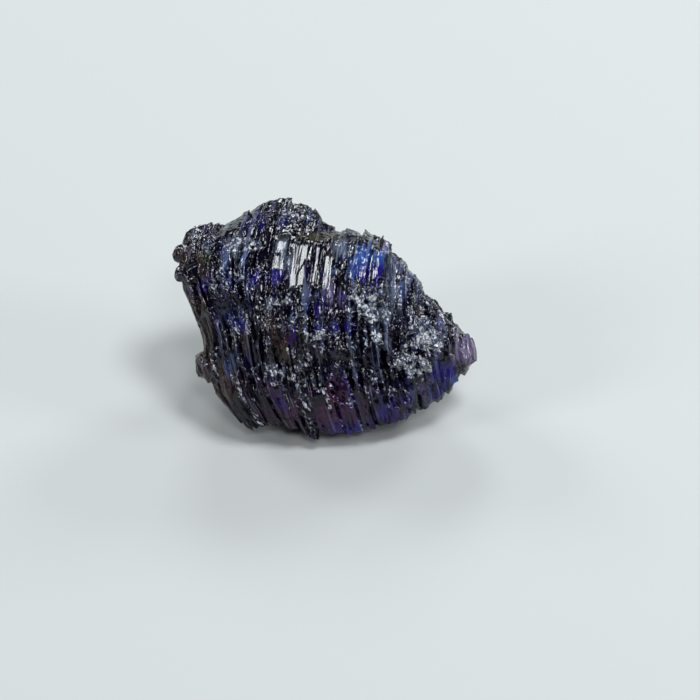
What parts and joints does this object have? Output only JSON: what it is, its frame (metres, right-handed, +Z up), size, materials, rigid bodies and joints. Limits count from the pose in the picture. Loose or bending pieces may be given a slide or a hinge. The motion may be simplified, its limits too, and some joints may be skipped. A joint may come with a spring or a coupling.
{
  "type": "rough tanzanite",
  "caption": "Broken piece of a deeply striated blue-violet crystal: parallel columns with ledges and pits, a knobby broken top and one pointed end, resting on a small flat spot.",
  "frame": {"origin": "middle of the stone's box across and deep, at the height of the flat spot that it rests on", "axes": "+X across the striated face towards the pointed end, -Y out of the side that the striated face leans towards, +Z up"},
  "size_m": [0.013, 0.0084, 0.0079],
  "materials": {
    "tanzanite": "vitreous, rough-broken, translucent where thin"
  },
  "bodies": {
    "root": {"tanzanite_crystal": "tanzanite"}
  },
  "joints": []
}
